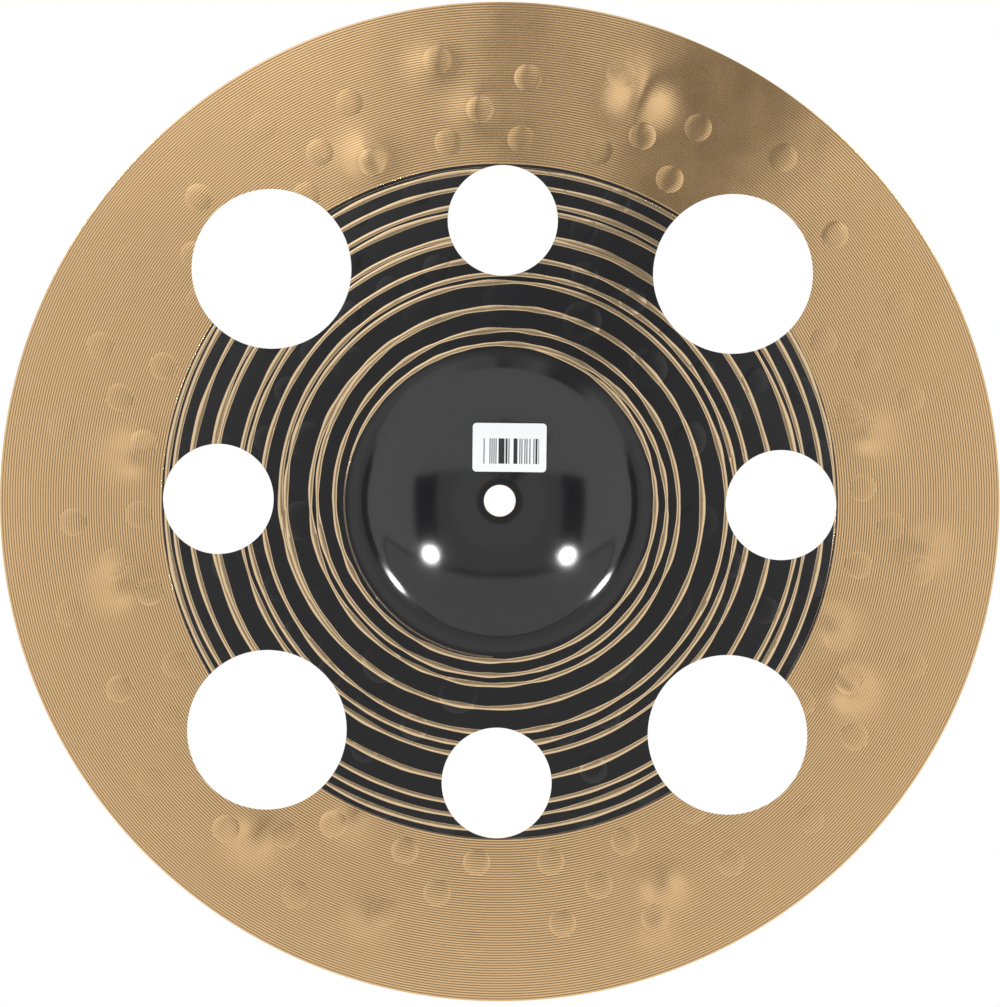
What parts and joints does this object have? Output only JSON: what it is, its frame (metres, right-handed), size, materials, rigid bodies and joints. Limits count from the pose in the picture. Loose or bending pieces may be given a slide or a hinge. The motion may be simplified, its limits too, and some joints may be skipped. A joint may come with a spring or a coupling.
{
  "type": "crash cymbal",
  "caption": "Shallow round bronze crash cymbal with a domed bell, a centre hole for a stand's rod, and round cut-outs across its bow, large and small in turn.",
  "frame": {"origin": "centre of the rim, on the plane that the rim's lower edge rests on", "axes": "+Z along the cymbal's axis, towards the top of the bell; +Y from the axis towards the side of the label; the object lies bell up"},
  "size_m": [0.4064, 0.4064, 0.0383],
  "materials": {
    "bronze": "hammered and finely lathed bronze, brilliant; black-coated bell and inner bow with lathed bright lines",
    "label_paper": "smooth white label stock with plain dark bars"
  },
  "bodies": {
    "root": {"cymbal_plate": "bronze", "bell_label": "label_paper"}
  },
  "joints": []
}
